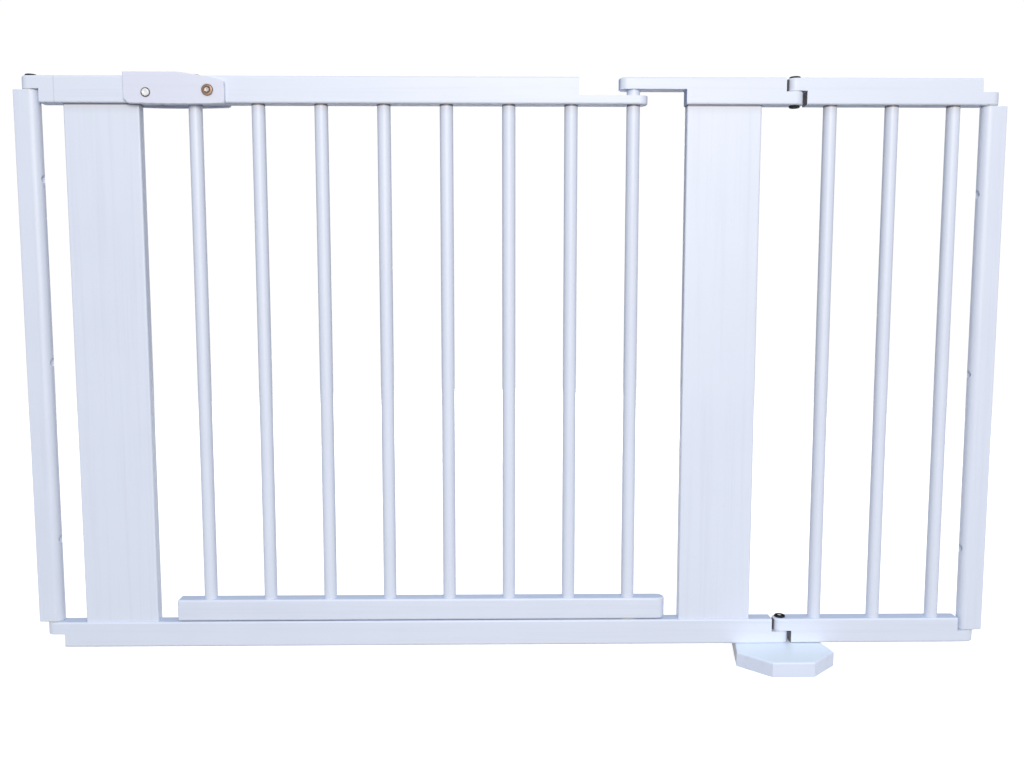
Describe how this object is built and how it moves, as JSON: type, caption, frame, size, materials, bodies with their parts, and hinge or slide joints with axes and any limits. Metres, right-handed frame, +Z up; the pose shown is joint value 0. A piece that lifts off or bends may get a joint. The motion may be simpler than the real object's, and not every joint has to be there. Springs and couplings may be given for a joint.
{
  "type": "safety baby gate",
  "caption": "Wooden safety baby gate: barred swing door with a lift latch and push button, fixed side boards, a hinged barred end section and wall battens.",
  "frame": {"origin": "on the floor under the foot block's level, half-way between the two wall faces and in the middle of the rails' depth", "axes": "+X along the gate from the latch side to the hinged end section, -Y the front that shows the push button, +Z up"},
  "size_m": [1.187, 0.146, 0.72],
  "materials": {
    "white_lacquer": "white lacquered beech, satin",
    "white_button": "glossy white moulded button",
    "clasp_lacquer": "white lacquered, satin",
    "black_steel": "black oxide furniture bolt",
    "bronze_steel": "antique bronze plated",
    "bare_beech": "bare beech, hidden in the joints",
    "zinc_steel": "zinc plated",
    "nylon": "natural nylon washer"
  },
  "bodies": {
    "left_batten": {"left_wall_batten": "white_lacquer", "left_batten_insert": "zinc_steel", "left_top_bolt": "black_steel", "left_top_washer": "nylon"},
    "main_frame": {"threshold_rail": "white_lacquer", "left_top_rail": "white_lacquer", "middle_top_rail": "white_lacquer", "left_board": "white_lacquer", "middle_board": "white_lacquer", "left_board_pegs": "bare_beech", "middle_board_pegs": "bare_beech", "foot_block": "white_lacquer", "foot_screws": "zinc_steel", "foot_insert": "zinc_steel", "button_collar": "nylon", "lock_spring": "zinc_steel", "left_bottom_pin": "zinc_steel", "left_bottom_washer": "nylon", "door_pivot_washer": "nylon", "wing_top_sleeve_nut": "black_steel", "wing_top_bolt": "black_steel", "wing_top_washer": "nylon", "wing_bottom_bolt": "black_steel", "wing_bottom_washer": "nylon"},
    "button": {"lock_button": "white_button"},
    "door": {"door_top_rail": "white_lacquer", "door_bottom_rail": "white_lacquer", "door_dowel_1": "white_lacquer", "door_dowel_2": "white_lacquer", "door_dowel_3": "white_lacquer", "door_dowel_4": "white_lacquer", "door_dowel_5": "white_lacquer", "door_dowel_6": "white_lacquer", "door_dowel_7": "white_lacquer", "door_pivot_dowel": "white_lacquer", "door_rail_bolt": "black_steel", "latch_bolt": "bronze_steel", "latch_sleeve_nut": "bronze_steel"},
    "clasp": {"latch_clasp": "clasp_lacquer"},
    "wing": {"wing_top_rail": "white_lacquer", "wing_bottom_rail": "white_lacquer", "wing_dowel_1": "white_lacquer", "wing_dowel_2": "white_lacquer", "wing_dowel_3": "white_lacquer", "right_top_pin": "zinc_steel", "right_bottom_pin": "zinc_steel", "right_bottom_washer": "nylon"},
    "right_batten": {"right_wall_batten": "white_lacquer", "right_top_washer": "nylon"}
  },
  "joints": [
    {"name": "left_wall_swivel", "type": "hinge", "parent": "left_batten", "child": "main_frame", "pos_m": [-0.5755, 0, 0.367], "axis": [0, 0, 1], "range_deg": [-90, 90]},
    {"name": "door_hinge", "type": "hinge", "parent": "main_frame", "child": "door", "pos_m": [0.1435, 0, 0.367], "axis": [0, 0, 1], "range_deg": [-150, 150]},
    {"name": "clasp_pivot", "type": "hinge", "parent": "door", "child": "clasp", "pos_m": [-0.3623, 0, 0.699], "axis": [0, 1, 0], "range_deg": [0, 122]},
    {"name": "button_press", "type": "slide", "parent": "main_frame", "child": "button", "axis": [0, 1, 0], "range_m": [0, 0.008], "stiffness_N_per_m": 250, "springref_m": -0.006, "deforming": ["lock_spring"]},
    {"name": "wing_swivel", "type": "hinge", "parent": "main_frame", "child": "wing", "pos_m": [0.3385, 0, 0.367], "axis": [0, 0, 1], "range_deg": [-90, 90]},
    {"name": "right_wall_swivel", "type": "hinge", "parent": "wing", "child": "right_batten", "pos_m": [0.5755, 0, 0.359], "axis": [0, 0, 1], "range_deg": [-90, 90]}
  ]
}
